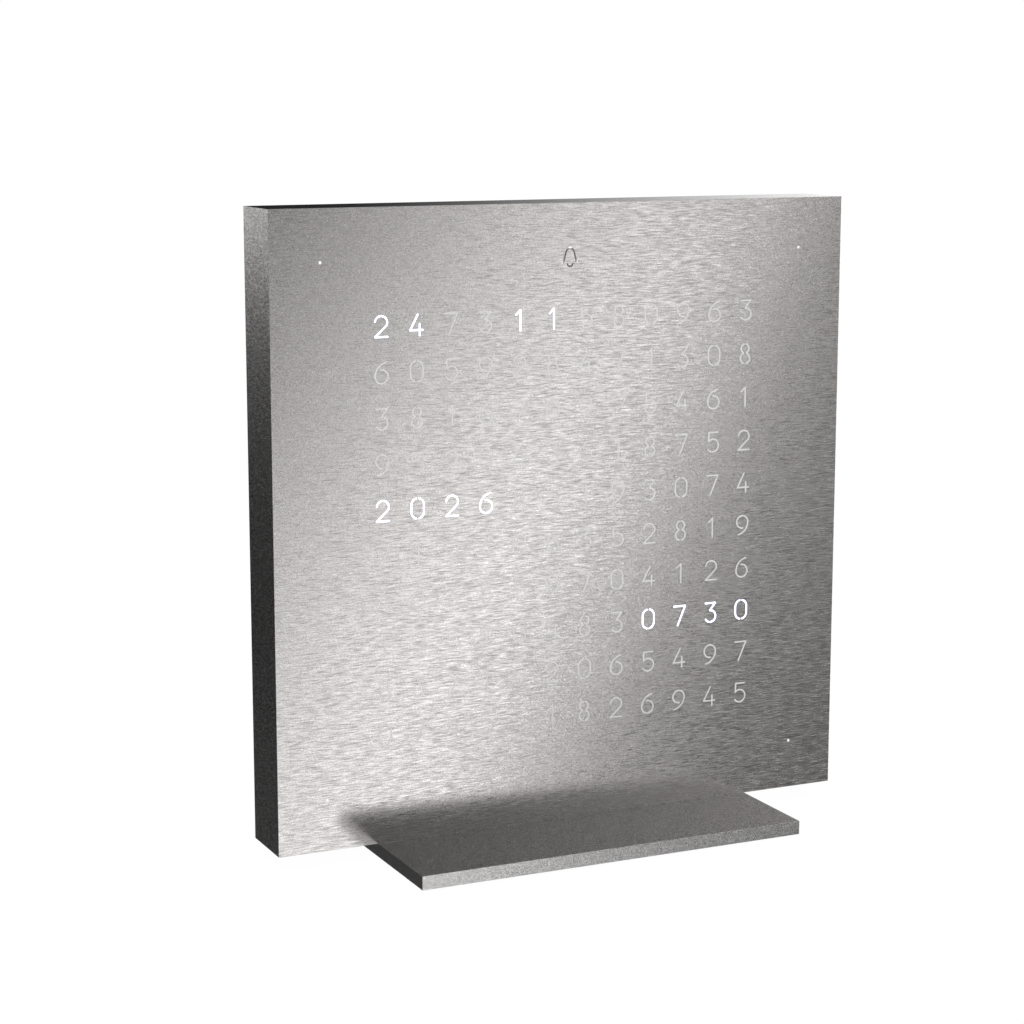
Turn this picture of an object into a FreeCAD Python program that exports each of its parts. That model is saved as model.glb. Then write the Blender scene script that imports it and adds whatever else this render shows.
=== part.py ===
import FreeCAD, Part
import math
import os

# A desk clock whose face is a matrix of stencil-cut digits, lit from behind.
# A square brushed steel cover holds the light grid, the LED board and a plastic
# rear cover; the whole stands on a flat steel foot plate.
#
# Frame: +X to the viewer's right, the face looks along -Y, +Z up.
# The origin is at the middle of the footprint, on the surface it stands on.
# All lengths in millimetres.

V = FreeCAD.Vector

# ---------------------------------------------------------------- dimensions
BODY_W = 135.0            # housing width and height
BODY_D = 15.0             # housing depth
SKIN = 1.2                # steel thickness
EDGE_R = 0.05             # broken outer edges of the steel
FOOT_W = 90.0             # foot plate width
FOOT_T = 3.0              # foot plate thickness
FOOT_EXT = 24.0           # foot plate beyond the housing, front and rear
PAD_R = 5.0               # anti-slip pads
PAD_T = 0.9
PAD_OUT = 0.4             # how far the pads stand out below the plate
PAD_X = 37.0
PAD_Y = 24.5

STROKE = 0.36             # width of every glyph slot
FILL_GAP = 0.012          # bond line between a slot and its resin fill
GLYPH_W = 2.85            # centre-line width of a digit
GLYPH_H = 4.35            # centre-line height of a digit
COLS = 12
ROWS = 10
FIELD_W = 86.6            # first to last column centre
ROW_TOP = 24.5            # first row centre, from the top of the face
ROW_PITCH = 9.64
DOT_IN = 11.0             # corner dots, in from both edges
DOT_R = 0.33
BELL_V = 11.55            # bell centre, from the top of the face

DIFF_T = 0.5              # diffuser sheet
GRID_T = 4.2              # light grid depth
GRID_WALL = 0.9           # light grid web
BOARD_T = 1.2             # circuit board
REAR_T = 2.0              # rear cover plate
REAR_SET = 0.2            # rear cover sits this far inside the rim
REAR_BOSS = 0.6           # bosses on the spacers
INNER_W = 130.0           # outline of grid and board
NOTCH_W = 74.0            # notch for the foot block
NOTCH_H = 8.5

BLOCK_W = 70.0            # foot block inside the housing
BLOCK_H = 6.5
STUD_X = 57.5             # weld studs
STUD_ZS = (30.0, 105.0)
STUD_R = 1.25

BTN_XS = (-24.0, -8.0, 8.0, 24.0)
BTN_Z = 112.0
BTN_R = 3.45              # button cap
BTN_HOLE_R = 3.75
BTN_FLANGE_R = 4.6
BTN_TRAVEL = 0.6
BTN_OUT = 0.8             # cap beyond the rear cover at rest

LEAF_W = 4.0              # touch spring leaf

SOCKET_X = 0.0            # power socket
SOCKET_Z = 13.5
WINDOW_W = 13.6           # window for the plug's moulded body
WINDOW_H = 8.2

DIGITS = (
    "247311580963",
    "605928471308",
    "381670925461",
    "952043618752",
    "202685193074",
    "719406352819",
    "463859704126",
    "195264830730",
    "837192065497",
    "074531826945",
)
LIT = {0: (0, 1, 4, 5), 4: (0, 1, 2, 3), 7: (8, 9, 10, 11)}

# ---------------------------------------------------------------- positions
Z0 = PAD_OUT + FOOT_T                 # underside of the housing
YF = -BODY_D / 2.0                    # face plane
YR = BODY_D / 2.0                     # rear rim
Y_SKIN = YF + SKIN                    # back of the face skin
Y_DIFF = Y_SKIN + DIFF_T
Y_GRID = Y_DIFF + GRID_T              # front of the board
Y_BOARD = Y_GRID + BOARD_T            # rear of the board
Y_RC_OUT = YR - REAR_SET              # rear cover, outer face
Y_RC_IN = Y_RC_OUT - REAR_T           # rear cover, inner face
TOP = Z0 + BODY_W

COL_PITCH = FIELD_W / (COLS - 1)


def col_x(c):
    return -FIELD_W / 2.0 + c * COL_PITCH


def row_z(r):
    return TOP - ROW_TOP - r * ROW_PITCH


# ---------------------------------------------------------------- helpers
def box(x0, x1, y0, y1, z0, z1):
    return Part.makeBox(x1 - x0, y1 - y0, z1 - z0, V(x0, y0, z0))


def cyl_y(x, z, r, y0, y1):
    return Part.makeCylinder(r, y1 - y0, V(x, y0, z), V(0, 1, 0))


def cyl_z(x, y, r, z0, z1):
    return Part.makeCylinder(r, z1 - z0, V(x, y, z0), V(0, 0, 1))


def cone_y(x, z, r0, r1, y0, y1):
    return Part.makeCone(r0, r1, y1 - y0, V(x, y0, z), V(0, 1, 0))


def cone_z(x, y, r0, r1, z0, z1):
    return Part.makeCone(r0, r1, z1 - z0, V(x, y, z0), V(0, 0, 1))


def upright(shape, y_back):
    """Stand a shape drawn in the XY plane up into the XZ plane, its +Z towards -Y."""
    s = shape.copy()
    s.rotate(V(0, 0, 0), V(1, 0, 0), 90)
    s.translate(V(0, y_back, 0))
    return s


def slab(face, y_front, y_back):
    """Extrude a face drawn in the XY plane (x, height) between two depths."""
    return upright(face.extrude(V(0, 0, y_back - y_front)), y_back)


def rect_wire(x0, x1, z0, z1):
    return Part.makePolygon([V(x0, z0, 0), V(x1, z0, 0), V(x1, z1, 0), V(x0, z1, 0), V(x0, z0, 0)])


def circle_wire(x, z, r):
    return Part.Wire([Part.Circle(V(x, z, 0), V(0, 0, 1), r).toShape()])


def stadium_wire(x, z, w, h):
    """A slot outline with round ends; w and h are its full sizes."""
    if w >= h:
        r, a = h / 2.0, (w - h) / 2.0
        p = [V(x - a, z + r, 0), V(x + a, z + r, 0), V(x + a + r, z, 0), V(x + a, z - r, 0), V(x - a, z - r, 0), V(x - a - r, z, 0)]
        return Part.Wire([Part.LineSegment(p[0], p[1]).toShape(), Part.Arc(p[1], p[2], p[3]).toShape(),
                          Part.LineSegment(p[3], p[4]).toShape(), Part.Arc(p[4], p[5], p[0]).toShape()])
    r, a = w / 2.0, (h - w) / 2.0
    p = [V(x + r, z - a, 0), V(x + r, z + a, 0), V(x, z + a + r, 0), V(x - r, z + a, 0), V(x - r, z - a, 0), V(x, z - a - r, 0)]
    return Part.Wire([Part.LineSegment(p[0], p[1]).toShape(), Part.Arc(p[1], p[2], p[3]).toShape(),
                      Part.LineSegment(p[3], p[4]).toShape(), Part.Arc(p[4], p[5], p[0]).toShape()])


def face_of(wires):
    return Part.makeFace(Part.makeCompound(list(wires)), "Part::FaceMakerBullseye")


def save(name, shape):
    shape.exportStep("parts/" + name + ".step")


def rounded(solid, radius, keep):
    """Round the edges of a solid that keep(edge) picks."""
    edges = [e for e in solid.Edges if keep(e)]
    return solid.makeFillet(radius, edges) if edges else solid


# ---------------------------------------------------------------- stencil digits
# Every stroke is a chain of straight runs and arcs on its centre line. Closed
# loops are broken, so that no island of steel falls out of the cut face.
def P(x, y):
    return V(x, y, 0)


def run(a, b):
    return Part.LineSegment(a, b).toShape()


def bow(cx, cy, r, a0, a1):
    pts = [V(cx + r * math.cos(math.radians(a)), cy + r * math.sin(math.radians(a)), 0) for a in (a0, (a0 + a1) / 2.0, a1)]
    return Part.Arc(*pts).toShape()


def on(cx, cy, r, a):
    return V(cx + r * math.cos(math.radians(a)), cy + r * math.sin(math.radians(a)), 0)


GW, GH = GLYPH_W, GLYPH_H
GR = GW / 2.0


def digit_strokes(ch):
    if ch == "0":
        g = 13.0
        return [
            [bow(GR, GH - GR, GR, 90 + g, 180), run(P(0, GH - GR), P(0, GR)), bow(GR, GR, GR, 180, 270 - g)],
            [bow(GR, GH - GR, GR, 90 - g, 0), run(P(GW, GH - GR), P(GW, GR)), bow(GR, GR, GR, 0, -90 + g)],
        ]
    if ch == "1":
        return [[run(P(0.62, GH - 0.95), P(1.62, GH)), run(P(1.62, GH), P(1.62, 0))]]
    if ch == "2":
        r = 1.36
        e = on(GR, GH - r, r, -28)
        return [[bow(GR, GH - r, r, 172, -28), run(e, P(0.05, 0)), run(P(0.05, 0), P(GW, 0))]]
    if ch == "3":
        r = 1.33
        return [[run(P(0.15, GH), P(GW - 0.2, GH)), run(P(GW - 0.2, GH), P(1.28, 2 * r)), run(P(1.28, 2 * r), P(1.42, 2 * r)),
                 bow(1.42, r, r, 90, -150)]]
    if ch == "4":
        return [[run(P(1.72, GH), P(0, 1.12)), run(P(0, 1.12), P(GW, 1.12))], [run(P(2.15, 2.35), P(2.15, 0))]]
    if ch == "5":
        r = 1.42
        s = on(r, r, r, 140)
        return [[run(P(GW - 0.15, GH), P(0.42, GH)), run(P(0.42, GH), s), bow(r, r, r, 140, -148)]]
    if ch in "69":
        # a long back curve that runs into the bowl; the bowl stops short of it
        tx, ty = 2.45, GH - 0.05
        big = (tx * tx + (ty - GR) ** 2) / (2.0 * tx)
        a0 = math.degrees(math.atan2(ty - GR, tx - big))
        stroke = [bow(big, GR, big, a0, 180), bow(GR, GR, GR, 180, 360 + 96)]
        if ch == "6":
            return [stroke]
        w = Part.Wire(stroke)
        w.rotate(V(GW / 2.0, GH / 2.0, 0), V(0, 0, 1), 180)
        return [list(w.Edges)]
    if ch == "7":
        return [[run(P(0, GH), P(GW, GH)), run(P(GW, GH), P(0.98, 0))]]
    if ch == "8":
        r1, r2 = 1.0, 1.175
        g1, g2 = 27.0, 23.0
        c1, c2 = GH - r1, r2
        cx = GR
        left = [bow(cx, c1, r1, 90 + 16, 270 - g1), run(on(cx, c1, r1, 270 - g1), on(cx, c2, r2, 90 + g2)), bow(cx, c2, r2, 90 + g2, 270 - 14)]
        right = [bow(cx, c1, r1, 90 - 16, -90 + g1), run(on(cx, c1, r1, -90 + g1), on(cx, c2, r2, 90 - g2)), bow(cx, c2, r2, 90 - g2, -90 + 14)]
        return [left, right]
    raise ValueError(ch)


def stroke_face(edges, width):
    """The area a cutter of the given width sweeps along a stroke, with round ends."""
    if len(edges) == 1 and isinstance(edges[0].Curve, Part.Line):
        a, b = (v.Point for v in edges[0].Vertexes)
        d = (b - a).normalize()
        n = V(-d.y, d.x, 0) * (width / 2.0)
        e = d * (width / 2.0)
        return Part.Face(Part.Wire([run(a - n, b - n), Part.Arc(b - n, b + e, b + n).toShape(), run(b + n, a + n),
                                    Part.Arc(a + n, a - e, a - n).toShape()]))
    wire = Part.Wire(edges)
    return Part.Face(wire.makeOffset2D(width / 2.0, 0, False, False))


def glyph_faces(strokes, width):
    """Faces of a glyph's slots. Strokes that cross are joined into one slot."""
    faces = [stroke_face(s, width) for s in strokes]
    out = []
    for f in faces:
        hit = [g for g in out if g.common(f).Area > 1e-6]
        for g in hit:
            out.remove(g)
            f = f.fuse(g).removeSplitter().Faces[0]
        out.append(f)
    return out


def bell_strokes():
    """A plain alarm bell, drawn about its middle: two flanks with flared feet, a crown and a clapper."""
    a, b = on(0.25, 0.72, 1.28, 165), on(-0.25, 0.72, 1.28, 15)
    return [
        [bow(0.25, 0.72, 1.28, 122, 165), run(a, P(-1.5, -0.9)), run(P(-1.5, -0.9), P(-1.76, -1.2))],
        [bow(-0.25, 0.72, 1.28, 58, 15), run(b, P(1.5, -0.9)), run(P(1.5, -0.9), P(1.76, -1.2))],
        [bow(0, 1.42, 0.68, 72, 108)],
        [bow(0, -1.3, 0.64, 192, 348)],
    ]


# ---------------------------------------------------------------- face cut-outs
GLYPHS = {}
for ch in "0123456789":
    GLYPHS[ch] = (glyph_faces(digit_strokes(ch), STROKE), glyph_faces(digit_strokes(ch), STROKE - 2 * FILL_GAP))

slot_tools = []
fill_lit = []
fill_unlit = []
for r in range(ROWS):
    for c in range(COLS):
        ch = DIGITS[r][c]
        off = V(col_x(c) - GW / 2.0, 0, row_z(r) - GH / 2.0)
        for f in GLYPHS[ch][0]:
            s = slab(f, YF - 0.5, Y_SKIN + 0.3)
            s.translate(off)
            slot_tools.append(s)
        for f in GLYPHS[ch][1]:
            s = slab(f, YF, Y_SKIN)
            s.translate(off)
            (fill_lit if c in LIT.get(r, ()) else fill_unlit).append(s)

bell_fill = []
for st in bell_strokes():
    w = 0.36
    s = slab(stroke_face(st, w), YF - 0.5, Y_SKIN + 0.3)
    s.translate(V(0, 0, TOP - BELL_V))
    slot_tools.append(s)
    s = slab(stroke_face(st, w - 2 * FILL_GAP), YF + 0.05, Y_SKIN)
    s.translate(V(0, 0, TOP - BELL_V))
    bell_fill.append(s)

dot_fill = []
DOTS = [(sx * (BODY_W / 2.0 - DOT_IN), Z0 + (DOT_IN if sz < 0 else BODY_W - DOT_IN)) for sx in (-1, 1) for sz in (-1, 1)]
for x, z in DOTS:
    slot_tools.append(cyl_y(x, z, DOT_R, YF - 0.5, Y_SKIN + 0.3))
    dot_fill.append(cyl_y(x, z, DOT_R - FILL_GAP, YF, Y_SKIN))

# ---------------------------------------------------------------- steel cover
hw = BODY_W / 2.0
outer = box(-hw, hw, YF, YR, Z0, TOP)
outer = rounded(outer, EDGE_R, lambda e: (
    abs(e.Vertexes[0].Point.y - YF) < 1e-6 and abs(e.Vertexes[1].Point.y - YF) < 1e-6)
    or (abs(e.Vertexes[0].Point.y - e.Vertexes[1].Point.y) > 1.0))
cavity = box(-hw + SKIN, hw - SKIN, Y_SKIN, YR + 1, Z0 + SKIN, TOP - SKIN)
cover = outer.cut(cavity)
FOOT_SCREW_XS = (-25.0, 0.0, 25.0)
foot_clear = [cyl_z(x, 0, 1.7, Z0 - 1, Z0 + SKIN + 1) for x in FOOT_SCREW_XS]
cover = cover.cut(Part.makeCompound(slot_tools + foot_clear))
cover = cover.Solids[0] if len(cover.Solids) == 1 else cover

# studs are welded to the back of the face, clear of the field
studs = []
for sx in (-1, 1):
    for z in STUD_ZS:
        base = cyl_y(sx * STUD_X, Z0 + z, 2.0, Y_SKIN, Y_SKIN + 0.4)
        shank = cyl_y(sx * STUD_X, Z0 + z, STUD_R, Y_SKIN, Y_BOARD + 3.0)
        studs.append(base.fuse(shank).removeSplitter())

# ---------------------------------------------------------------- light grid and diffuser
hi = INNER_W / 2.0
ZI0, ZI1 = Z0 + (BODY_W - INNER_W) / 2.0, TOP - (BODY_W - INNER_W) / 2.0


def notched(h, z0, z1, nw, nz):
    return Part.makePolygon([V(-h, z0, 0), V(-nw, z0, 0), V(-nw, nz, 0), V(nw, nz, 0), V(nw, z0, 0),
                             V(h, z0, 0), V(h, z1, 0), V(-h, z1, 0), V(-h, z0, 0)])


cells = []
cw, chh = COL_PITCH - GRID_WALL, ROW_PITCH - GRID_WALL
for r in range(ROWS):
    for c in range(COLS):
        x, z = col_x(c), row_z(r)
        cells.append(rect_wire(x - cw / 2, x + cw / 2, z - chh / 2, z + chh / 2))
for x, z in DOTS:
    cells.append(rect_wire(x - 2.5, x + 2.5, z - 2.5, z + 2.5))
BELL_Z = TOP - BELL_V
cells.append(rect_wire(-4.5, 4.5, BELL_Z - 3.2, BELL_Z + 3.2))
stud_clear = [(sx * STUD_X, Z0 + z) for sx in (-1, 1) for z in STUD_ZS]
grid_holes = [circle_wire(x, z, 2.3) for x, z in stud_clear]
side_windows = []
for sx in (-1, 1):
    a, b = sorted((sx * 49.5, sx * 62.5))
    side_windows.append(rect_wire(a, b, Z0 + 35.5, Z0 + 65.5))
    side_windows.append(rect_wire(a, b, Z0 + 68.5, Z0 + 99.5))
    a, b = sorted((sx * 7.5, sx * 50.0))
    side_windows.append(rect_wire(a, b, Z0 + 117.5, Z0 + 129.5))
socket_clear = rect_wire(SOCKET_X - 5.2, SOCKET_X + 5.2, Z0 + SOCKET_Z - 2.4, Z0 + SOCKET_Z + 2.4)
grid = slab(face_of([notched(hi, ZI0, ZI1, NOTCH_W / 2, Z0 + NOTCH_H)] + cells + grid_holes + side_windows + [socket_clear]), Y_DIFF, Y_GRID)

dh = hi - 1.0
diffuser = slab(face_of([notched(dh, ZI0 + 1, ZI1 - 1, NOTCH_W / 2 + 1, Z0 + NOTCH_H + 1)]
                        + [circle_wire(x, z, 2.3) for x, z in stud_clear]), Y_SKIN, Y_DIFF)

# ---------------------------------------------------------------- circuit board and what is on it
board_holes = [circle_wire(x, z, 1.45) for x, z in stud_clear]
board_slot = stadium_wire(SOCKET_X, Z0 + SOCKET_Z, 9.4, 3.7)
board = slab(face_of([notched(hi, ZI0, ZI1, NOTCH_W / 2, Z0 + NOTCH_H)] + board_holes + [board_slot]), Y_GRID, Y_BOARD)


def led(x, z, w=2.0, h=1.25, t=0.8):
    """A chip LED: a white body with a slightly narrower clear block on it, as one moulding."""
    a = box(x - w / 2, x + w / 2, Y_GRID - t * 0.45, Y_GRID, z - h / 2, z + h / 2)
    b = box(x - w * 0.34, x + w * 0.34, Y_GRID - t, Y_GRID - t * 0.45, z - h / 2, z + h / 2)
    return a.fuse(b).removeSplitter()


matrix_leds = [led(col_x(c), row_z(r)) for r in range(ROWS) for c in range(COLS)]
corner_leds = [led(x, z) for x, z in DOTS]
alarm_led = led(-1.6, BELL_Z)
light_sensor = box(1.2, 3.2, Y_GRID - 0.7, Y_GRID, BELL_Z - 1.0, BELL_Z + 1.0)


def chip(x, z, w, h, t, y=Y_BOARD):
    """A moulded chip lying on the back of the board, with bevelled upper edges."""
    b = box(x - w / 2, x + w / 2, y + 0.1, y + t, z - h / 2, z + h / 2)
    return b.makeChamfer(0.15, [e for e in b.Edges if abs(e.Vertexes[0].Point.y - (y + t)) < 1e-6 and abs(e.Vertexes[1].Point.y - (y + t)) < 1e-6])


def leads(x, z, w, h, n, side, y=Y_BOARD):
    """Gull-wing leads along two opposite sides, from the chip's flank down to the board."""
    out = []
    for k in range(n):
        t = (k - (n - 1) / 2.0) * 0.65
        for s in (-1, 1):
            if side == "z":
                zc = z + s * (h / 2 + 0.45)
                a, b = sorted((z + s * h / 2, z + s * (h / 2 + 0.9)))
                out.append(box(x + t - 0.14, x + t + 0.14, y, y + 0.15, a + (0.3 if s > 0 else 0), b - (0 if s > 0 else 0.3)))
                a2, b2 = sorted((z + s * h / 2, z + s * (h / 2 + 0.45)))
                out[-1] = out[-1].fuse(box(x + t - 0.14, x + t + 0.14, y, y + 0.65, a2 + (0.3 if s > 0 else 0), b2 - (0 if s > 0 else 0.3)))
                out[-1] = out[-1].fuse(box(x + t - 0.14, x + t + 0.14, y + 0.5, y + 0.65, a2, b2)).removeSplitter()
            else:
                a, b = sorted((x + s * w / 2, x + s * (w / 2 + 0.9)))
                q = box(a + (0.3 if s > 0 else 0), b - (0 if s > 0 else 0.3), y, y + 0.15, z + t - 0.14, z + t + 0.14)
                a2, b2 = sorted((x + s * w / 2, x + s * (w / 2 + 0.45)))
                q = q.fuse(box(a2 + (0.3 if s > 0 else 0), b2 - (0 if s > 0 else 0.3), y, y + 0.65, z + t - 0.14, z + t + 0.14))
                q = q.fuse(box(a2, b2, y + 0.5, y + 0.65, z + t - 0.14, z + t + 0.14)).removeSplitter()
                out.append(q)
    return out


MCU = (12.0, Z0 + 62.0, 10.0, 10.0, 1.3)
DRV = ((-14.0, Z0 + 52.0), (-14.0, Z0 + 74.0))
microcontroller = chip(*MCU)
led_drivers = [chip(x, z, 5.3, 10.2, 1.8) for x, z in DRV]
chip_leads = leads(MCU[0], MCU[1], MCU[2], MCU[3], 12, "z") + leads(MCU[0], MCU[1], MCU[2], MCU[3], 12, "x")
for x, z in DRV:
    chip_leads += leads(x, z, 5.3, 10.2, 14, "x")

crystal = rounded(box(22.0, 29.5, Y_BOARD, Y_BOARD + 2.4, Z0 + 60.2, Z0 + 63.8), 1.4,
                  lambda e: abs(e.Vertexes[0].Point.y - e.Vertexes[1].Point.y) > 1.0)
regulator = chip(17.0, Z0 + 16.0, 6.5, 3.5, 1.7)
regulator_tab = box(15.4, 18.6, Y_BOARD, Y_BOARD + 0.25, Z0 + 18.1, Z0 + 19.6).fuse(
    box(15.4, 18.6, Y_BOARD, Y_BOARD + 0.9, Z0 + 17.75, Z0 + 18.1)).removeSplitter()
caps = []
for x, z in ((-13.0, 16.0), (-19.5, 16.0), (25.0, 16.0)):
    base = box(x - 2.15, x + 2.15, Y_BOARD, Y_BOARD + 0.6, Z0 + z - 2.15, Z0 + z + 2.15)
    can = cyl_y(x, Z0 + z, 2.0, Y_BOARD + 0.6, Y_BOARD + 4.6)
    can = rounded(can, 0.3, lambda e: len(e.Vertexes) == 1 and abs(e.Vertexes[0].Point.y - (Y_BOARD + 4.6)) < 1e-6)
    caps.append(base.fuse(can).removeSplitter())

# coin cell that keeps the time when the supply is off
CELL_X, CELL_Z = -38.0, Z0 + 48.0
cell = rounded(cyl_y(CELL_X, CELL_Z, 10.0, Y_BOARD + 1.0, Y_BOARD + 4.2), 0.35,
               lambda e: len(e.Vertexes) == 1)
holder = box(CELL_X - 11.5, CELL_X + 11.5, Y_BOARD, Y_BOARD + 3.6, CELL_Z - 12.0, CELL_Z + 12.0)
holder = rounded(holder, 3.0, lambda e: abs(e.Vertexes[0].Point.y - e.Vertexes[1].Point.y) > 1.0)
holder = holder.cut(cyl_y(CELL_X, CELL_Z, 10.15, Y_BOARD + 0.8, Y_BOARD + 4.0))
holder = holder.cut(box(CELL_X - 4, CELL_X + 4, Y_BOARD + 1.2, Y_BOARD + 4.0, CELL_Z - 13, CELL_Z - 8))
clip_t = 0.3
clip = box(CELL_X - 2.5, CELL_X + 2.5, Y_BOARD + 4.2, Y_BOARD + 4.2 + clip_t, CELL_Z - 2.0, CELL_Z + 12.3)
clip = clip.fuse(box(CELL_X - 2.5, CELL_X + 2.5, Y_BOARD, Y_BOARD + 4.2 + clip_t, CELL_Z + 12.0, CELL_Z + 12.3)).removeSplitter()
cell_pad = cyl_y(CELL_X, CELL_Z, 3.0, Y_BOARD + 0.8, Y_BOARD + 1.0)

# alarm sounder
BUZ_X, BUZ_Z = 38.0, Z0 + 48.0
buzzer = cyl_y(BUZ_X, BUZ_Z, 6.5, Y_BOARD, Y_BOARD + 4.7)
buzzer = rounded(buzzer, 0.5, lambda e: len(e.Vertexes) == 1 and abs(e.Vertexes[0].Point.y - (Y_BOARD + 4.7)) < 1e-6)
buzzer = buzzer.cut(cyl_y(BUZ_X, BUZ_Z, 1.3, Y_BOARD + 3.4, Y_BOARD + 5.0))

# spring leaf that joins the board to the steel top, so that the cover senses a touch
leaf = [(Z0 + 121.0, Y_BOARD), (Z0 + 129.0, Y_BOARD), (Z0 + 131.4, Y_BOARD + 1.0), (Z0 + 133.5, Y_BOARD + 2.6),
        (Z0 + BODY_W - SKIN, Y_BOARD + 4.2)]
t = 0.25
pts = [V(0, y, z) for z, y in leaf] + [V(0, y + t, z - (0.12 if k else 0)) for k, (z, y) in reversed(list(enumerate(leaf)))]
pts[5] = V(0, leaf[4][1] + t, leaf[4][0])
touch_spring = Part.Face(Part.makePolygon(pts + [pts[0]])).extrude(V(LEAF_W, 0, 0))
touch_spring.translate(V(-LEAF_W / 2.0, 0, 0))

# power socket, standing through a slot in the board, its mouth below the window
SZ = Z0 + SOCKET_Z
Y_S0, Y_S1 = Y_BOARD - 4.2, Y_RC_IN - 0.5
shell = slab(face_of([stadium_wire(SOCKET_X, SZ, 9.0, 3.3), stadium_wire(SOCKET_X, SZ, 8.36, 2.66)]), Y_S0, Y_S1)
core = slab(face_of([stadium_wire(SOCKET_X, SZ, 8.32, 2.62)]), Y_S0, Y_S0 + 1.6)
tongue = core.fuse(box(SOCKET_X - 3.3, SOCKET_X + 3.3, Y_S0 + 1.6, Y_S1 - 0.8, SZ - 0.35, SZ + 0.35)).removeSplitter()
socket_tabs = []
for s in (-1, 1):
    a, b = sorted((SOCKET_X + s * 4.55, SOCKET_X + s * 6.3))
    socket_tabs.append(box(a, b, Y_BOARD, Y_BOARD + 0.25, SZ - 0.8, SZ + 0.8))

# key switches under the rear buttons
Y_CAP_IN = Y_RC_IN - 0.25 - 0.9          # inner end of a button cap
switch_bodies = []
plungers = []
Y_SW = Y_BOARD + 3.1
for x in BTN_XS:
    z = Z0 + BTN_Z
    s = box(x - 3.0, x + 3.0, Y_BOARD, Y_SW, z - 3.0, z + 3.0)
    s = rounded(s, 0.4, lambda e: abs(e.Vertexes[0].Point.y - e.Vertexes[1].Point.y) > 1.0)
    s = s.cut(cyl_y(x, z, 1.95, Y_BOARD + 1.0, Y_SW + 1))
    switch_bodies.append(s)
    plungers.append(cyl_y(x, z, 1.65, Y_BOARD + 1.9, Y_CAP_IN))

# ---------------------------------------------------------------- spacers and rear cover
spacers = []
for x, z in stud_clear:
    hexa = Part.makePolygon([V(x + 2.75 * math.cos(math.radians(a)), z + 2.75 * math.sin(math.radians(a)), 0) for a in range(0, 361, 60)])
    spacers.append(slab(face_of([hexa, circle_wire(x, z, 1.3)]), Y_BOARD, Y_RC_IN - REAR_BOSS))

RC = hw - SKIN - 0.2
rc_z0, rc_z1 = Z0 + SKIN + 0.2, TOP - SKIN - 0.2
plate = box(-RC, RC, Y_RC_IN, Y_RC_OUT, rc_z0, rc_z1)
rim = box(-RC, RC, Y_BOARD + 1.0, Y_RC_IN, rc_z0, rc_z1).cut(
    box(-RC + 1.2, RC - 1.2, Y_BOARD, Y_RC_IN + 1, rc_z0 + 1.2, rc_z1 - 1.2))
rear = plate.fuse(rim)
for x, z in stud_clear:
    rear = rear.fuse(cyl_y(x, z, 4.2, Y_RC_IN - REAR_BOSS, Y_RC_IN + 0.5))
rear = rear.removeSplitter()
rear = rounded(rear, 0.25, lambda e: len(e.Vertexes) == 2 and all(abs(p.Point.y - Y_RC_OUT) < 1e-6 for p in e.Vertexes))

rc_cut = []
for x, z in stud_clear:
    rc_cut.append(cyl_y(x, z, 1.4, Y_RC_IN - 1, Y_RC_OUT + 1))
    rc_cut.append(cyl_y(x, z, 2.65, Y_RC_OUT - 1.2, Y_RC_OUT + 1))
for x in BTN_XS:
    rc_cut.append(cyl_y(x, Z0 + BTN_Z, BTN_HOLE_R, Y_RC_IN - 1, Y_RC_OUT + 1))
# shallow dished panel around the button row
panel = slab(face_of([stadium_wire(0, Z0 + BTN_Z, 64.0, 13.0)]), Y_RC_OUT - 0.3, Y_RC_OUT + 1)
rc_cut.append(panel)
# window for the plug
win = box(SOCKET_X - WINDOW_W / 2, SOCKET_X + WINDOW_W / 2, Y_RC_IN - 1, Y_RC_OUT + 1, SZ - WINDOW_H / 2, SZ + WINDOW_H / 2)
win = rounded(win, 1.5, lambda e: abs(e.Vertexes[0].Point.y - e.Vertexes[1].Point.y) > 1.0)
rc_cut.append(win)
# sound holes: one in the middle, rings of 6 and 12
for n, rr in ((1, 0.0), (6, 2.9), (12, 5.8)):
    for k in range(n):
        a = math.radians(360.0 * k / n + (15 if n == 12 else 0))
        rc_cut.append(cyl_y(BUZ_X + rr * math.cos(a), BUZ_Z + rr * math.sin(a), 0.75, Y_RC_IN - 1, Y_RC_OUT + 1))
# cooling slots
for sx in (-1, 1):
    for k in range(8):
        rc_cut.append(slab(face_of([stadium_wire(sx * (14.0 + 4.4 * k), Z0 + 84.0, 1.6, 18.0)]), Y_RC_IN - 1, Y_RC_OUT + 1))
# bare recess for a rating plate
label = box(-26, 26, Y_RC_OUT - 0.25, Y_RC_OUT + 1, Z0 + 38.0, Z0 + 58.0)
label = rounded(label, 1.5, lambda e: abs(e.Vertexes[0].Point.y - e.Vertexes[1].Point.y) > 1.0)
rc_cut.append(label)
# room for the foot block
rc_cut.append(box(-BLOCK_W / 2 - 1, BLOCK_W / 2 + 1, Y_BOARD, Y_RC_IN, rc_z0 - 1, rc_z0 + 1.3))
# gap in the rim for the spring leaf
rc_cut.append(box(-LEAF_W / 2 - 1.2, LEAF_W / 2 + 1.2, Y_BOARD, Y_RC_IN, rc_z1 - 1.3, rc_z1 + 1))
rear = rear.cut(Part.makeCompound(rc_cut))
rear = rear.Solids[0] if len(rear.Solids) == 1 else rear

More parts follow.
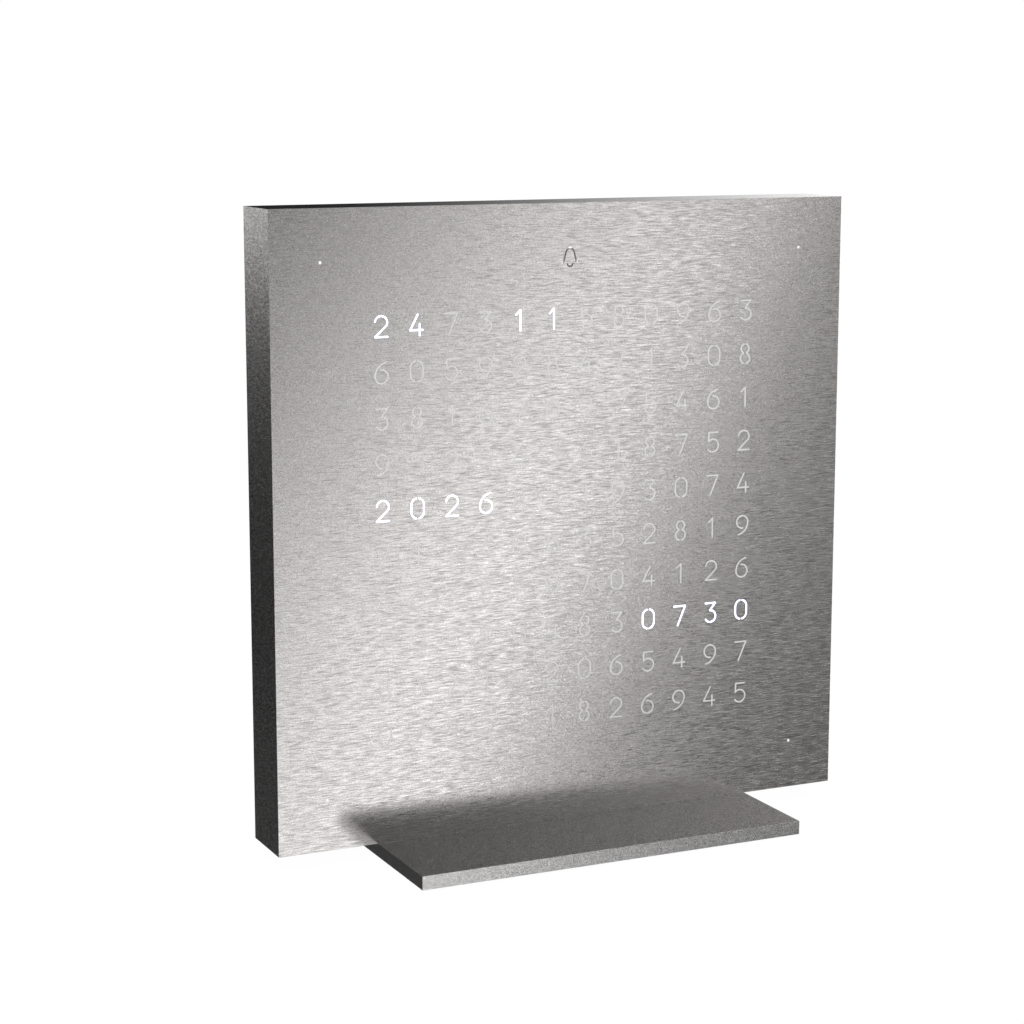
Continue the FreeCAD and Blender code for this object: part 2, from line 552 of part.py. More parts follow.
rear_screws = []
for x, z in stud_clear:
    head = cyl_y(x, z, 2.35, Y_RC_OUT - 1.2, Y_RC_OUT - 0.05)
    head = rounded(head, 0.35, lambda e: len(e.Vertexes) == 1 and abs(e.Vertexes[0].Point.y - (Y_RC_OUT - 0.05)) < 1e-6)
    shank = cyl_y(x, z, 1.22, Y_BOARD + 3.2, Y_RC_OUT - 1.2)
    s = head.fuse(shank).removeSplitter()
    cross = box(x - 1.35, x + 1.35, Y_RC_OUT - 0.85, Y_RC_OUT + 1, z - 0.24, z + 0.24).fuse(
        box(x - 0.24, x + 0.24, Y_RC_OUT - 0.85, Y_RC_OUT + 1, z - 1.35, z + 1.35)).removeSplitter()
    rear_screws.append(s.cut(cross))

# ---------------------------------------------------------------- buttons
Y_CAP_OUT = Y_RC_OUT + BTN_OUT
MARK = 0.22


def mark_face(kind, x, z):
    """Raised mark on a cap: a plus, a minus, a plain clock face or a bell."""
    if kind == "minus":
        return [rect_wire(x - 1.6, x + 1.6, z - 0.3, z + 0.3)]
    if kind == "plus":
        a, b = 1.6, 0.3
        return [Part.makePolygon([V(x + u, z + v, 0) for u, v in (
            (-a, -b), (-b, -b), (-b, -a), (b, -a), (b, -b), (a, -b), (a, b), (b, b), (b, a), (-b, a), (-b, b), (-a, b), (-a, -b))])]
    if kind == "time":
        return [circle_wire(x, z, 1.95), circle_wire(x, z, 1.5)]
    return None


buttons = {}
for name, kind, x in zip(("button_alarm", "button_time", "button_plus", "button_minus"), ("alarm", "time", "plus", "minus"), BTN_XS):
    z = Z0 + BTN_Z
    cap = cyl_y(x, z, BTN_R, Y_CAP_IN, Y_CAP_OUT)
    cap = rounded(cap, 0.35, lambda e: len(e.Vertexes) == 1 and abs(e.Vertexes[0].Point.y - Y_CAP_OUT) < 1e-6)
    flange = cyl_y(x, z, BTN_FLANGE_R, Y_CAP_IN, Y_CAP_IN + 0.9)
    b = cap.fuse(flange).removeSplitter()
    # the marks are read from behind, so their own right is the row's -X
    if kind in ("minus", "plus", "time"):
        b = b.fuse(slab(face_of(mark_face(kind, x, z)), Y_CAP_OUT - 0.1, Y_CAP_OUT + MARK))
    if kind == "time":
        hands = box(x - 0.2, x + 0.2, Y_CAP_OUT - 0.1, Y_CAP_OUT + MARK, z - 0.2, z + 1.15).fuse(
            box(x - 0.85, x + 0.2, Y_CAP_OUT - 0.1, Y_CAP_OUT + MARK, z - 0.2, z + 0.2))
        b = b.fuse(hands)
    if kind == "alarm":
        for st in bell_strokes():
            m = slab(stroke_face(st, 0.36), Y_CAP_OUT - 0.1, Y_CAP_OUT + MARK)
            m.translate(V(x, 0, z + 0.1))
            b = b.fuse(m)
    b = b.removeSplitter()
    buttons[name] = b.Solids[0] if len(b.Solids) == 1 else b

# ---------------------------------------------------------------- foot
FH = FOOT_EXT + BODY_D / 2.0
foot = box(-FOOT_W / 2, FOOT_W / 2, -FH, FH, PAD_OUT, Z0)
foot = rounded(foot, EDGE_R, lambda e: True)
cut = []
for x in FOOT_SCREW_XS:
    cut.append(cyl_z(x, 0, 1.7, PAD_OUT - 1, Z0 + 1))
    cut.append(cone_z(x, 0, 3.15, 1.7, PAD_OUT, PAD_OUT + 1.45))
    cut.append(cyl_z(x, 0, 3.15, PAD_OUT - 1, PAD_OUT + 0.001))
pads = []
for sx in (-1, 1):
    for sy in (-1, 1):
        cut.append(cyl_z(sx * PAD_X, sy * PAD_Y, PAD_R + 0.1, PAD_OUT - 1, PAD_T))
        p = cyl_z(sx * PAD_X, sy * PAD_Y, PAD_R, 0, PAD_T)
        pads.append(rounded(p, 0.15, lambda e: len(e.Vertexes) == 1 and abs(e.Vertexes[0].Point.z) < 1e-6))
foot = foot.cut(Part.makeCompound(cut))
foot = foot.Solids[0] if len(foot.Solids) == 1 else foot

block = box(-BLOCK_W / 2, BLOCK_W / 2, -6.0, 4.6, Z0 + SKIN, Z0 + SKIN + BLOCK_H)
block = rounded(block, 0.4, lambda e: True)
block = block.cut(Part.makeCompound([cyl_z(x, 0, 1.5, Z0, Z0 + 5.6) for x in FOOT_SCREW_XS]))

foot_screws = []
for x in FOOT_SCREW_XS:
    s = cone_z(x, 0, 2.95, 1.45, PAD_OUT + 0.15, PAD_OUT + 1.6).fuse(cyl_z(x, 0, 1.45, PAD_OUT + 1.6, Z0 + 5.2)).removeSplitter()
    key = Part.Face(Part.makePolygon([V(x + 1.155 * math.cos(math.radians(a)), 1.155 * math.sin(math.radians(a)), PAD_OUT - 1) for a in range(0, 361, 60)]))
    foot_screws.append(s.cut(key.extrude(V(0, 0, 2.3))))

# ---------------------------------------------------------------- write
os.makedirs("parts", exist_ok=True)
OUT = {
    "front_cover": cover,
    "digit_fills_unlit": Part.makeCompound(fill_unlit),
    "digit_fills_lit": Part.makeCompound(fill_lit),
    "corner_dot_fills": Part.makeCompound(dot_fill),
    "bell_fill": Part.makeCompound(bell_fill),
    "cover_studs": Part.makeCompound(studs),
    "diffuser_sheet": diffuser,
    "light_grid": grid,
    "main_board": board,
    "matrix_leds": Part.makeCompound(matrix_leds),
    "corner_leds": Part.makeCompound(corner_leds),
    "alarm_led": alarm_led,
    "light_sensor": light_sensor,
    "microcontroller": microcontroller,
    "led_drivers": Part.makeCompound(led_drivers),
    "chip_leads": Part.makeCompound(chip_leads),
    "clock_crystal": crystal,
    "voltage_regulator": regulator,
    "regulator_tab": regulator_tab,
    "capacitors": Part.makeCompound(caps),
    "coin_cell": cell,
    "coin_cell_holder": holder,
    "coin_cell_clip": clip,
    "coin_cell_pad": cell_pad,
    "alarm_buzzer": buzzer,
    "touch_spring": touch_spring,
    "power_socket_shell": shell,
    "power_socket_tongue": tongue,
    "power_socket_tabs": Part.makeCompound(socket_tabs),
    "switch_bodies": Part.makeCompound(switch_bodies),
    "hex_spacers": Part.makeCompound(spacers),
    "rear_cover": rear,
    "rear_screws": Part.makeCompound(rear_screws),
    "foot_plate": foot,
    "foot_block": block,
    "foot_screws": Part.makeCompound(foot_screws),
    "foot_pads": Part.makeCompound(pads),
}
for (name, shape), pl in zip(buttons.items(), plungers):
    OUT[name] = shape
    OUT[name.replace("button_", "switch_plunger_")] = pl

for name, shape in OUT.items():
    bb = shape.BoundBox
    print("%-24s solids %3d  valid %s  vol %10.2f  box %.2f %.2f %.2f / %.2f %.2f %.2f" % (
        name, len(shape.Solids), shape.isValid(), shape.Volume, bb.XMin, bb.YMin, bb.ZMin, bb.XMax, bb.YMax, bb.ZMax))
    save(name, shape)
print(len(OUT), "nodes")
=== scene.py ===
import math

import bmesh
import bpy
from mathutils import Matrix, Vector

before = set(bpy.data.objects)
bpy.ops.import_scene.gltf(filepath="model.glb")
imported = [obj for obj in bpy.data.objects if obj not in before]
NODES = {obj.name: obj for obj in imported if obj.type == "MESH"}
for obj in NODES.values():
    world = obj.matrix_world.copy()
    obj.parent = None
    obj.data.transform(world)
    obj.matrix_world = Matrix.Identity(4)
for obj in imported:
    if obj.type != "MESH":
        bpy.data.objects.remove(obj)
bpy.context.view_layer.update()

MM = 0.001

# ---------------------------------------------------------------- node helpers
# Small helpers that write shader nodes. A "value" below is a number or a node
# output; numbers go on the socket itself.


class Tree:
    def __init__(self, tree):
        self.t = tree
        self.n = tree.nodes
        self.n.clear()

    def new(self, kind, **props):
        node = self.n.new(kind)
        for k, v in props.items():
            setattr(node, k, v)
        return node

    def put(self, socket, value):
        if isinstance(value, bpy.types.NodeSocket):
            self.t.links.new(value, socket)
        elif value is not None:
            socket.default_value = value

    def math(self, op, a, b=None, c=None, clamp=False):
        node = self.new("ShaderNodeMath", operation=op, use_clamp=clamp)
        for s, v in zip(node.inputs, (a, b, c)):
            self.put(s, v)
        return node.outputs[0]

    def vec(self, op, a, b=None, scale=None):
        node = self.new("ShaderNodeVectorMath", operation=op)
        self.put(node.inputs[0], a)
        self.put(node.inputs[1], b)
        if scale is not None:
            self.put(node.inputs["Scale"], scale)
        return node.outputs["Value"] if op in ("DOT_PRODUCT", "LENGTH", "DISTANCE") else node.outputs[0]

    def xyz(self, v):
        node = self.new("ShaderNodeSeparateXYZ")
        self.put(node.inputs[0], v)
        return node.outputs

    def combine(self, x, y, z):
        node = self.new("ShaderNodeCombineXYZ")
        for s, v in zip(node.inputs, (x, y, z)):
            self.put(s, v)
        return node.outputs[0]

    def remap(self, v, a, b, c=0.0, d=1.0, smooth=False):
        node = self.new("ShaderNodeMapRange", clamp=True)
        node.interpolation_type = "SMOOTHSTEP" if smooth else "LINEAR"
        for s, x in zip(node.inputs[:5], (v, a, b, c, d)):
            self.put(s, x)
        return node.outputs[0]

    def mix(self, f, a, b):
        node = self.new("ShaderNodeMix", data_type="FLOAT")
        self.put(node.inputs[0], f)
        self.put(node.inputs[2], a)
        self.put(node.inputs[3], b)
        return node.outputs[0]

    def mixv(self, f, a, b):
        node = self.new("ShaderNodeMix", data_type="VECTOR")
        self.put(node.inputs[0], f)
        self.put(node.inputs[4], a)
        self.put(node.inputs[5], b)
        return node.outputs[1]

    def mixc(self, f, a, b, blend="MIX"):
        node = self.new("ShaderNodeMix", data_type="RGBA", blend_type=blend)
        self.put(node.inputs[0], f)
        for s, v in ((node.inputs[6], a), (node.inputs[7], b)):
            self.put(s, (*v, 1.0) if isinstance(v, tuple) and len(v) == 3 else v)
        return node.outputs[2]

    def noise(self, v, scale, detail=2.0, rough=0.5, colour=False, w=None):
        node = self.new("ShaderNodeTexNoise", noise_dimensions="3D" if w is None else "4D")
        self.put(node.inputs["Vector"], v)
        if w is not None:
            node.inputs["W"].default_value = w
        node.inputs["Scale"].default_value = scale
        node.inputs["Detail"].default_value = detail
        node.inputs["Roughness"].default_value = rough
        return node.outputs[1] if colour else node.outputs[0]

    def object_mm(self):
        """Object coordinates in millimetres."""
        tc = self.new("ShaderNodeTexCoord")
        return self.vec("SCALE", tc.outputs["Object"], scale=1000.0)

    def bump(self, height, distance, strength=1.0):
        node = self.new("ShaderNodeBump")
        node.inputs["Strength"].default_value = strength
        node.inputs["Distance"].default_value = distance
        self.put(node.inputs["Height"], height)
        return node.outputs[0]

    def principled(self, **inputs):
        node = self.new("ShaderNodeBsdfPrincipled")
        for k, v in inputs.items():
            s = node.inputs[k.replace("_", " ")]
            if isinstance(v, tuple) and len(v) == 3 and s.type == "RGBA":
                v = (*v, 1.0)
            self.put(s, v)
        out = self.new("ShaderNodeOutputMaterial")
        self.t.links.new(node.outputs[0], out.inputs[0])
        return node


def material(name):
    m = bpy.data.materials.new(name)
    m.use_nodes = True
    return m, Tree(m.node_tree)


# ---------------------------------------------------------------- steel
def brushed_steel(name, base=(0.611, 0.593, 0.583), rough=0.210, swing=0.088, grain=0.009, grain_scale=9.0, length=3.1, width=0.17,
                  speck=0.21, aniso=0.51, edge_rough=0.075, edge_swing=0.3, edge_speck=0.15, flank_swing=0.15, flank_speck=0.36, flank_grain_scale=4.2):
    """Sheet steel brushed along X (along Y on its left and right flanks).
    Short brush marks are smoother dashes in a duller ground; a fine crystal grain mottles and tilts the surface a little."""
    m, t = material(name)
    p = t.object_mm()
    geo = t.new("ShaderNodeNewGeometry")
    nrm = geo.outputs["Normal"]
    nx, ny, nz = t.xyz(nrm)
    flat = t.math("GREATER_THAN", t.math("ABSOLUTE", nz), 0.7)                 # 1 on faces that look up or down
    flank = t.math("GREATER_THAN", t.math("ABSOLUTE", nx), 0.7)                # 1 on the left and right flanks
    px, py, pz = t.xyz(p)
    across = t.math("DIVIDE", t.mix(flat, pz, py), width)
    along = t.math("DIVIDE", t.math("ADD", px, t.mix(flat, py, 0.0)), length)
    # an oblique cut through the noise, so that the marks do not line up in columns
    depth = t.math("SUBTRACT", t.math("MULTIPLY", along, 0.62), t.math("MULTIPLY", across, 0.177))
    v = t.combine(t.math("ADD", along, t.math("MULTIPLY", across, 0.11)), across, t.math("ADD", depth, t.mix(flat, 0.3, 40.3)))
    mark = t.math("ADD", t.math("MULTIPLY", t.math("SUBTRACT", t.noise(v, 1.0, 1.0, 0.4), 0.5), 5.0), 0.2)
    amount = t.mix(flat, t.mix(flank, swing, swing * flank_swing), swing * edge_swing)
    rgh = t.math("MAXIMUM", t.math("SUBTRACT", t.mix(flat, rough, edge_rough), t.math("MULTIPLY", mark, amount)), 0.05)
    cells = t.new("ShaderNodeTexVoronoi", voronoi_dimensions="3D", feature="F1")
    # on the flanks the grain is drawn out along the brushing
    t.put(cells.inputs["Vector"], t.combine(px, t.math("MULTIPLY", py, t.mix(flank, 1.0, 0.3)), pz))
    t.put(cells.inputs["Scale"], t.mix(flank, grain_scale, flank_grain_scale))
    crystal = cells.outputs["Color"]
    tilt = t.vec("SCALE", t.vec("SUBTRACT", crystal, (0.5, 0.5, 0.5)), scale=grain * 3.0)
    normal = t.vec("NORMALIZE", t.vec("ADD", nrm, tilt))
    tone = t.math("FRACT", t.math("MULTIPLY", t.math("ADD", t.xyz(crystal)[0], t.xyz(crystal)[1]), 7.3))
    contrast = t.mix(flat, t.mix(flank, speck, flank_speck), edge_speck)
    shade = t.math("MULTIPLY_ADD", t.math("SUBTRACT", tone, 0.5), t.math("MULTIPLY", contrast, 2.0), 1.0)
    col = t.vec("MINIMUM", t.vec("SCALE", t.combine(*base), scale=shade), (1.0, 1.0, 1.0))
    tangent = t.mixv(flat, (0.0, 0.0, 1.0), (0.0, 1.0, 0.0))
    t.principled(Base_Color=col, Metallic=1.0, Roughness=rgh, Anisotropic=aniso, Tangent=tangent, Normal=normal)
    return m


def plain_metal(name, base, rough, noise_scale=6.0, swing=0.06, bump=2e-6):
    m, t = material(name)
    p = t.object_mm()
    n = t.noise(p, noise_scale, 2.0, 0.55)
    k = t.remap(n, 0.3, 0.7)
    col = t.mixc(k, tuple(c * 0.88 for c in base), base)
    rgh = t.math("ADD", rough - swing / 2, t.math("MULTIPLY", k, swing))
    t.principled(Base_Color=col, Metallic=1.0, Roughness=rgh, Normal=t.bump(n, bump))
    return m


# ---------------------------------------------------------------- plastics, resin, rubber
def moulded(name, base, rough=0.45, grain=2.6, depth=1.2e-5, tone=0.18, spec=0.5, coat=0.0):
    """Moulded plastic with an even spark-eroded grain."""
    m, t = material(name)
    p = t.object_mm()
    n1 = t.noise(p, grain, 2.0, 0.6)
    n2 = t.noise(p, grain * 0.12, 2.0, 0.5)
    k = t.remap(n2, 0.3, 0.7)
    col = t.mixc(k, tuple(c * (1 - tone) for c in base), tuple(min(1.0, c * (1 + tone)) for c in base))
    rgh = t.math("ADD", rough - 0.04, t.math("MULTIPLY", t.remap(n1, 0.3, 0.7), 0.08))
    t.principled(Base_Color=col, Roughness=rgh, Specular_IOR_Level=spec, Normal=t.bump(n1, depth), Coat_Weight=coat)
    return m


def resin(name, base, rough=0.38, lit=None):
    """Cast resin in a slot; lit is (colour, strength) for a cell with its LED on."""
    m, t = material(name)
    p = t.object_mm()
    n = t.noise(p, 1.7, 2.0, 0.6)
    k = t.remap(n, 0.3, 0.7)
    col = t.mixc(k, tuple(c * 0.955 for c in base), base)
    kw = dict(Base_Color=col, Roughness=t.math("ADD", rough, t.math("MULTIPLY", k, 0.08)), Normal=t.bump(n, 4e-6))
    if lit:
        colour, strength = lit
        kw["Emission_Color"] = colour
        kw["Emission_Strength"] = t.math("MULTIPLY", strength, t.remap(n, 0.25, 0.75, 0.92, 1.08))
    t.principled(**kw)
    return m


def bell_resin(name, z_crown, x_foot):
    """Smoked resin with painted highlights: the bell's crown and the feet of its flanks are painted milky white and
    glow faintly, standing in for light caught at the ends of the strokes.
    """
    m, t = material(name)
    p = t.object_mm()
    px, py, pz = t.xyz(p)
    n = t.remap(t.noise(p, 1.7, 2.0, 0.6), 0.3, 0.7)
    # mask of the painted highlights: the crown and the feet of the flanks
    clear = t.math("MAXIMUM", t.remap(pz, z_crown - 0.1, z_crown + 0.1), t.remap(t.math("ABSOLUTE", px), x_foot - 0.1, x_foot + 0.1))
    dark = t.mixc(n, (0.14, 0.14, 0.14), (0.18, 0.18, 0.18))
    painted_glint = t.mixc(n, (0.88, 0.88, 0.87), (0.92, 0.92, 0.91))
    # the milky colour and the faint glow in the mask are a painted highlight, not a lamp inside the bell
    t.principled(Base_Color=t.mixc(clear, dark, painted_glint), Roughness=t.math("ADD", 0.22, t.math("MULTIPLY", n, 0.08)), Normal=t.bump(n, 3e-6),
                 Emission_Color=(1.0, 1.0, 1.0, 1.0), Emission_Strength=t.math("MULTIPLY", clear, 0.45))
    return m


def board_laminate(name):
    m, t = material(name)
    p = t.object_mm()
    w = t.new("ShaderNodeTexWave", wave_type="BANDS", bands_direction="X")
    t.put(w.inputs["Vector"], p)
    w.inputs["Scale"].default_value = 0.55
    w2 = t.new("ShaderNodeTexWave", wave_type="BANDS", bands_direction="Z")
    t.put(w2.inputs["Vector"], p)
    w2.inputs["Scale"].default_value = 0.55
    weave = t.math("MULTIPLY", w.outputs[1], w2.outputs[1])
    col = t.mixc(weave, (0.006, 0.012, 0.010), (0.012, 0.022, 0.018))
    t.principled(Base_Color=col, Roughness=0.32, Normal=t.bump(weave, 8e-6), Coat_Weight=0.3)
    return m


def button_cap(name, y_mark):
    """Grained black cap; the raised mark on it is printed light grey."""
    m, t = material(name)
    p = t.object_mm()
    n = t.noise(p, 3.2, 2.0, 0.6)
    mark = t.remap(t.xyz(p)[1], y_mark - 0.02, y_mark + 0.02)
    black = t.mixc(t.remap(n, 0.3, 0.7), (0.018, 0.018, 0.019), (0.028, 0.028, 0.030))
    print_c = t.mixc(t.remap(n, 0.3, 0.7), (0.62, 0.62, 0.61), (0.70, 0.70, 0.69))
    t.principled(Base_Color=t.mixc(mark, black, print_c), Roughness=t.mix(mark, 0.36, 0.5), Normal=t.bump(n, 5e-6))
    return m


def rubber(name):
    m, t = material(name)
    p = t.object_mm()
    n = t.noise(p, 5.0, 3.0, 0.65)
    col = t.mixc(t.remap(n, 0.3, 0.7), (0.012, 0.012, 0.012), (0.030, 0.030, 0.029))
    t.principled(Base_Color=col, Roughness=0.78, Specular_IOR_Level=0.3, Normal=t.bump(n, 2.5e-5))
    return m


Y_MARK = 8.1                                         # outer face of the button caps, mm
BELL_Z = 126.85                                      # middle of the bell, mm
MATS = {
    "cover": brushed_steel("brushed_steel_cover"),
    "foot": brushed_steel("brushed_steel_foot", base=(0.655, 0.646, 0.641), rough=0.245, swing=0.03, grain=0.014, grain_scale=6.0, speck=0.16,
                          edge_rough=0.235, edge_swing=0.5, edge_speck=0.62, flank_speck=0.08),
    "unlit": resin("resin_unlit", (0.86, 0.86, 0.85)),
    "dot": resin("resin_dot", (0.90, 0.90, 0.89), lit=((1.0, 1.0, 1.0, 1.0), 0.28)),
    "lit": resin("resin_lit", (0.88, 0.88, 0.88), lit=((0.69, 0.75, 1.0, 1.0), 2.3)),
    "smoked": bell_resin("resin_bell", BELL_Z + 1.92, 1.6),
    "bright": plain_metal("bright_steel", (0.66, 0.65, 0.63), 0.25),
    "film": moulded("diffuser_film", (0.82, 0.82, 0.80), 0.6, tone=0.03),
    "black": moulded("black_plastic", (0.018, 0.018, 0.018), 0.5),
    "laminate": board_laminate("board_laminate"),
    "led": moulded("led_package", (0.80, 0.78, 0.66), 0.3, grain=4.0, depth=2e-6, tone=0.05),
    "chip": moulded("chip_black", (0.016, 0.016, 0.017), 0.42, grain=6.0, depth=4e-6),
    "tinned": plain_metal("tinned_metal", (0.78, 0.78, 0.77), 0.22),
    "can": plain_metal("capacitor_can", (0.72, 0.72, 0.73), 0.2, noise_scale=3.0),
    "bronze": plain_metal("spring_bronze", (0.72, 0.45, 0.24), 0.26),
    "brass": plain_metal("brass_turned", (0.80, 0.62, 0.30), 0.24, noise_scale=9.0),
    "rear": moulded("rear_plastic", (0.022, 0.022, 0.023), 0.5, grain=3.0, depth=1.6e-5, tone=0.05),
    "screw": plain_metal("screw_steel", (0.40, 0.40, 0.41), 0.3, noise_scale=8.0),
    "block": plain_metal("aluminium_block", (0.76, 0.77, 0.78), 0.34, noise_scale=5.0, bump=4e-6),
    "pad": rubber("pad_rubber"),
    "button": button_cap("button_plastic", Y_MARK + 0.08),
    "plunger": moulded("plunger_plastic", (0.55, 0.54, 0.50), 0.4, tone=0.05),
}
LOOK = {
    "front_cover": "cover", "digit_fills_unlit": "unlit", "digit_fills_lit": "lit", "corner_dot_fills": "dot",
    "bell_fill": "smoked", "cover_studs": "bright", "diffuser_sheet": "film", "light_grid": "black",
    "main_board": "laminate", "matrix_leds": "led", "corner_leds": "led", "alarm_led": "led", "light_sensor": "chip",
    "microcontroller": "chip", "led_drivers": "chip", "chip_leads": "tinned", "clock_crystal": "can",
    "voltage_regulator": "chip", "regulator_tab": "tinned", "capacitors": "can", "coin_cell": "bright",
    "coin_cell_holder": "black", "coin_cell_clip": "bronze", "coin_cell_pad": "tinned", "alarm_buzzer": "black",
    "touch_spring": "bronze", "power_socket_shell": "bright", "power_socket_tongue": "black",
    "power_socket_tabs": "tinned", "switch_bodies": "black", "hex_spacers": "brass", "rear_cover": "rear",
    "rear_screws": "screw", "foot_plate": "foot", "foot_block": "block", "foot_screws": "screw", "foot_pads": "pad",
    "button_alarm": "button", "button_time": "button", "button_plus": "button", "button_minus": "button",
    "switch_plunger_alarm": "plunger", "switch_plunger_time": "plunger",
    "switch_plunger_plus": "plunger", "switch_plunger_minus": "plunger",
}
for name, obj in NODES.items():
    m = MATS[LOOK[name]]
    if not obj.material_slots:
        obj.data.materials.append(m)
    for s in obj.material_slots:
        s.material = m


# ---------------------------------------------------------------- floor
def make_floor():
    bm = bmesh.new()
    bmesh.ops.create_grid(bm, x_segments=8, y_segments=8, size=4.0)
    me = bpy.data.meshes.new("studio_floor")
    bm.to_mesh(me)
    bm.free()
    ob = bpy.data.objects.new("studio_floor", me)
    bpy.context.scene.collection.objects.link(ob)
    m, t = material("floor_paper")
    p = t.object_mm()
    n = t.noise(p, 0.4, 2.0, 0.5)
    diff = t.new("ShaderNodeBsdfDiffuse")
    t.put(diff.inputs[0], t.mixc(n, (0.028, 0.028, 0.028), (0.032, 0.032, 0.032)))
    glow = t.new("ShaderNodeEmission")
    glow.inputs[0].default_value = (1, 1, 1, 1)
    glow.inputs[1].default_value = 0.985
    add = t.new("ShaderNodeAddShader")
    t.t.links.new(diff.outputs[0], add.inputs[0])
    t.t.links.new(glow.outputs[0], add.inputs[1])
    # the paper can be seen through from below, so that the underside of the clock shows
    back = t.new("ShaderNodeNewGeometry").outputs["Backfacing"]
    clear = t.new("ShaderNodeBsdfTransparent")
    sw = t.new("ShaderNodeMixShader")
    t.put(sw.inputs[0], back)
    t.t.links.new(add.outputs[0], sw.inputs[1])
    t.t.links.new(clear.outputs[0], sw.inputs[2])
    out = t.new("ShaderNodeOutputMaterial")
    t.t.links.new(sw.outputs[0], out.inputs[0])
    me.materials.append(m)
    ob.visible_glossy = False
    return ob


make_floor()


# ---------------------------------------------------------------- studio light
def direction(az, el):
    """Azimuth from +Y towards +X, elevation above the horizon, in degrees."""
    a, e = math.radians(az), math.radians(el)
    return Vector((math.sin(a) * math.cos(e), math.cos(a) * math.cos(e), math.sin(e)))


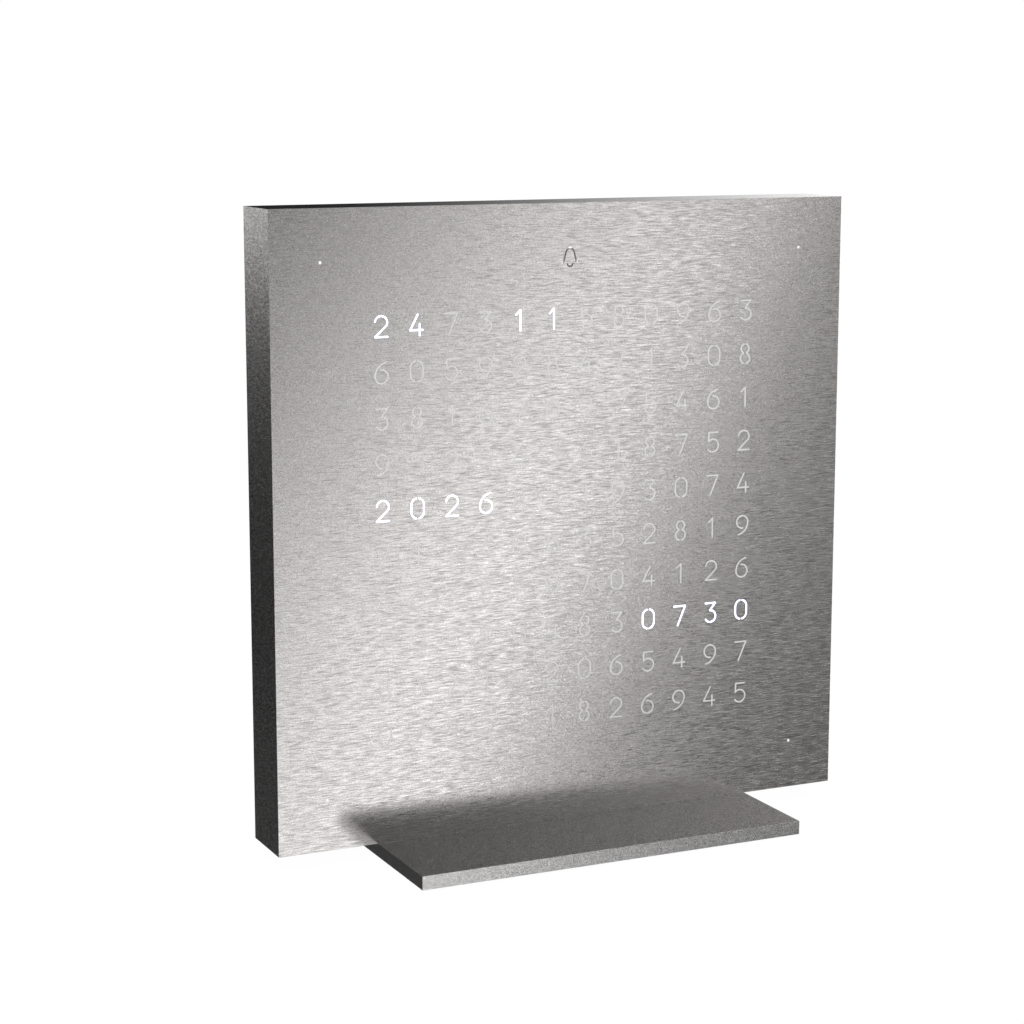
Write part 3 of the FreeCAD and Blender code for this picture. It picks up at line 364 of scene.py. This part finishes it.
def make_world():
    w = bpy.data.worlds.new("studio")
    w.use_nodes = True
    bpy.context.scene.world = w
    t = Tree(w.node_tree)
    d = t.new("ShaderNodeTexCoord").outputs["Generated"]

    def along(v):
        return t.vec("DOT_PRODUCT", d, tuple(v))

    def soft(v, edge, width):
        return t.remap(v, edge - width, edge + width, 0.0, 1.0, smooth=True)

    def panel(az, el, half_w, half_h, soft_w, soft_h, power, roll=0.0):
        """A soft-edged rectangular panel far away; sizes are half angles in degrees."""
        c = direction(az, el)
        r = direction(az + 90, 0)
        u = r.cross(c).normalized()
        ro = math.radians(roll)
        r, u = r * math.cos(ro) + u * math.sin(ro), u * math.cos(ro) - r * math.sin(ro)
        facing = along(c)
        safe = t.math("MAXIMUM", facing, 0.05)
        a = t.math("ABSOLUTE", t.math("ARCTANGENT", t.math("DIVIDE", along(r), safe)))
        b = t.math("ABSOLUTE", t.math("ARCTANGENT", t.math("DIVIDE", along(u), safe)))
        hw, hh, sw, sh = (math.radians(x) for x in (half_w, half_h, soft_w, soft_h))
        inside = t.math("MULTIPLY", t.remap(a, hw + sw, hw - sw, 0.0, 1.0, smooth=True), t.remap(b, hh + sh, hh - sh, 0.0, 1.0, smooth=True))
        inside = t.math("MULTIPLY", inside, soft(facing, 0.12, 0.07))
        return t.math("MULTIPLY", inside, power)

    x, y, z = t.xyz(d)
    # walls and ceiling: dark low down behind, dark grey in front, lighter overhead
    front = soft(t.math("MULTIPLY", y, -1.0), 0.0, 0.5)
    base = t.mix(front, 0.0175, 0.0954)
    base = t.math("ADD", base, t.math("MULTIPLY", soft(z, 0.66, 0.20), 0.75))
    # a little light thrown back by the table
    total = t.math("ADD", base, t.math("MULTIPLY", soft(t.math("MULTIPLY", z, -1.0), 0.26, 0.08), 0.0373))
    # strip light low in front on the right, leaning right, softer on its left side
    az0, el0, lean = 25.9, -10.0, math.radians(25.35)
    a0, e0 = math.radians(az0), math.radians(el0)
    c = Vector((math.sin(a0) * math.cos(e0), -math.cos(a0) * math.cos(e0), math.sin(e0)))
    right = Vector((math.cos(a0), math.sin(a0), 0.0))
    up = c.cross(right).normalized()
    if up.z < 0:
        up = -up
    n = (right * math.cos(lean) - up * math.sin(lean)).normalized()
    dist = t.math("MULTIPLY", t.math("ARCSINE", along(n)), 180.0 / math.pi)
    side = t.math("GREATER_THAN", dist, 1.7)
    sigma = t.mix(side, 5.21, 0.3)
    q = t.math("DIVIDE", t.math("SUBTRACT", dist, 1.7), sigma)
    bell = t.math("EXPONENT", t.math("MULTIPLY", t.math("MULTIPLY", q, q), -0.5))
    length = t.math("MULTIPLY", soft(z, -0.62, 0.2), t.remap(z, -0.19, 0.15, 1.12, 0.48))
    facing = soft(along(c), 0.55, 0.3)
    strip = t.math("MULTIPLY", t.math("MULTIPLY", bell, t.math("MULTIPLY", length, facing)), 1.69)
    total = t.math("ADD", total, strip)
    # bright walls behind: one to the left above the horizon, one to the right
    total = t.math("ADD", total, panel(-62, 10.3, 52, 15, 8, 2.7, 0.975))
    total = t.math("ADD", total, panel(68.1, -1.5, 30, 7.3, 18, 6, 4.9))
    total = t.math("ADD", total, panel(36, 26, 24, 14, 16, 10, 0.115))
    # panels in front: far right and low, right of the middle, and high on the left
    total = t.math("ADD", total, panel(118.5, -20, 10.5, 30, 2.2, 25, 3.77))
    total = t.math("ADD", total, panel(152.2, 17, 3.8, 8, 5, 9, 0.155))
    total = t.math("ADD", total, panel(206, 14, 26, 18, 12, 12, 0.09))
    # low light in front on the left
    total = t.math("ADD", total, panel(207, -18, 15, 10, 8, 7, 0.8))
    # faint glow in front on the right, level with the strip
    total = t.math("ADD", total, panel(144, -9.6, 6, 4, 6, 4, 0.118))
    glow = t.new("ShaderNodeBackground")
    t.put(glow.inputs[0], t.combine(total, total, total))
    paper = t.new("ShaderNodeBackground")
    paper.inputs[0].default_value = (1, 1, 1, 1)
    paper.inputs[1].default_value = 1.0
    lp = t.new("ShaderNodeLightPath")
    sw = t.new("ShaderNodeMixShader")
    t.put(sw.inputs[0], lp.outputs["Is Camera Ray"])
    t.t.links.new(glow.outputs[0], sw.inputs[1])
    t.t.links.new(paper.outputs[0], sw.inputs[2])
    out = t.new("ShaderNodeOutputWorld")
    t.t.links.new(sw.outputs[0], out.inputs[0])
    w.cycles.sampling_method = "MANUAL"
    w.cycles.sample_map_resolution = 1024


make_world()


def far_lamp(name, az, el, strength, angle=55.0):
    """A large soft lamp far away. It lights matt surfaces; the panels above are what steel mirrors."""
    lamp = bpy.data.lights.new(name, "SUN")
    lamp.energy = strength
    lamp.angle = math.radians(angle)
    ob = bpy.data.objects.new(name, lamp)
    bpy.context.scene.collection.objects.link(ob)
    ob.rotation_mode = "QUATERNION"
    ob.rotation_quaternion = (-direction(az, el)).to_track_quat("-Z", "Y")
    ob.location = direction(az, el)
    ob.visible_glossy = False
    ob.visible_camera = False
    return ob


far_lamp("key_front", 205, 40, 0.55)
far_lamp("fill_right", 110, 45, 0.30)
far_lamp("fill_rear", 15, 40, 0.55)

# ---------------------------------------------------------------- camera
cam_data = bpy.data.cameras.new("camera")
cam_data.lens = 85.247
cam_data.sensor_width = 36.0
cam_data.clip_start = 0.01
cam_data.clip_end = 50.0
cam = bpy.data.objects.new("camera", cam_data)
bpy.context.scene.collection.objects.link(cam)
cam.location = (-0.22913, -0.47020, 0.16320)
cam.rotation_euler = (math.radians(79.9725), 0.0, math.radians(-24.977))
bpy.context.scene.camera = cam

scene = bpy.context.scene
scene.view_settings.view_transform = "Standard"
scene.view_settings.look = "None"
scene.view_settings.exposure = 0.0
scene.view_settings.gamma = 1.0
